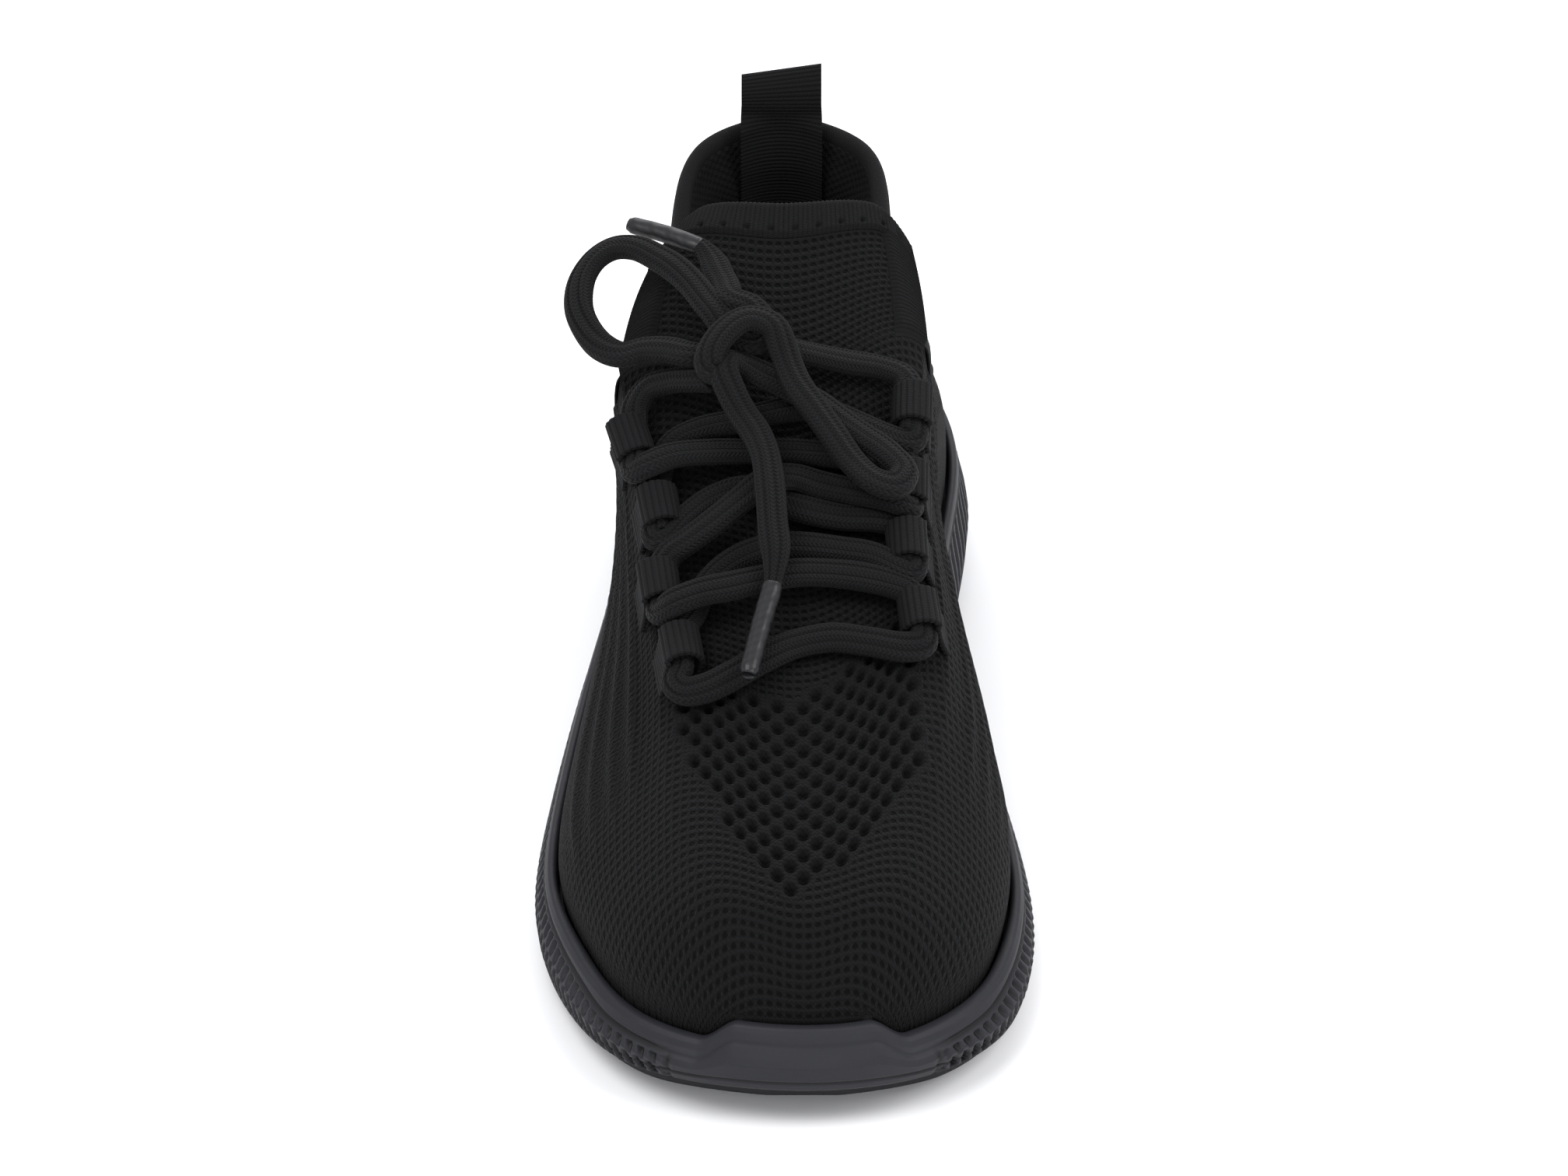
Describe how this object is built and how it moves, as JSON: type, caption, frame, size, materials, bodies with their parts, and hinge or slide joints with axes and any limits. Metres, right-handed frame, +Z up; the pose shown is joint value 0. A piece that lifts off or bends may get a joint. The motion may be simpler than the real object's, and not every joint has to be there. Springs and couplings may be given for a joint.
{
  "type": "running shoe",
  "caption": "Knitted running shoe for the right foot, with a moulded cup sole, webbing lace loops, a tied lace and a heel pull tab that flips.",
  "frame": {"origin": "on the ground, under the middle of the shoe's length and width", "axes": "+Z up, -Y towards the toe, +X towards the inner (medial) side of the foot"},
  "size_m": [0.107, 0.292, 0.1166],
  "materials": {
    "sole_rubber": "satin moulded rubber and foam",
    "tread_rubber": "matte rubber",
    "board": "non-woven board",
    "insole_foam": "foam under a knit cover",
    "knit": "knitted yarn",
    "stiffener": "thermoplastic sheet",
    "collar_foam": "open-cell foam",
    "lining": "diagonal mesh",
    "collar_knit": "rolled knit",
    "rib_band": "ribbed knit",
    "lace_braid": "braided yarn",
    "aglet_film": "clear film over dark yarn",
    "webbing": "woven webbing",
    "tab_webbing": "ribbed webbing"
  },
  "bodies": {
    "shoe": {"midsole": "sole_rubber", "outsole_forefoot": "tread_rubber", "outsole_heel": "tread_rubber", "strobel_board": "board", "insole": "insole_foam", "knit_upper": "knit", "toe_puff": "stiffener", "heel_counter": "stiffener", "collar_foam": "collar_foam", "heel_lining": "lining", "collar_binding": "collar_knit", "tongue_band": "rib_band", "lace_crossings": "lace_braid", "lace_bow_outer": "lace_braid", "lace_bow_inner": "lace_braid", "lace_end_outer": "lace_braid", "lace_end_inner": "lace_braid", "lace_knot": "lace_braid", "aglet_outer": "aglet_film", "aglet_inner": "aglet_film", "pull_tab_leg": "tab_webbing", "lace_loop_outer_1": "webbing", "lace_loop_outer_2": "webbing", "lace_loop_outer_3": "webbing", "lace_loop_outer_4": "webbing", "lace_loop_inner_1": "webbing", "lace_loop_inner_2": "webbing", "lace_loop_inner_3": "webbing", "lace_loop_inner_4": "webbing"},
    "tab": {"pull_tab": "tab_webbing"}
  },
  "joints": [
    {"name": "pull_tab_flip", "type": "hinge", "parent": "shoe", "child": "tab", "pos_m": [-0.0006, 0.132, 0.0934], "axis": [1, 0, 0], "range_deg": [-65, 50], "stiffness_Nm_per_rad": 0.004}
  ]
}
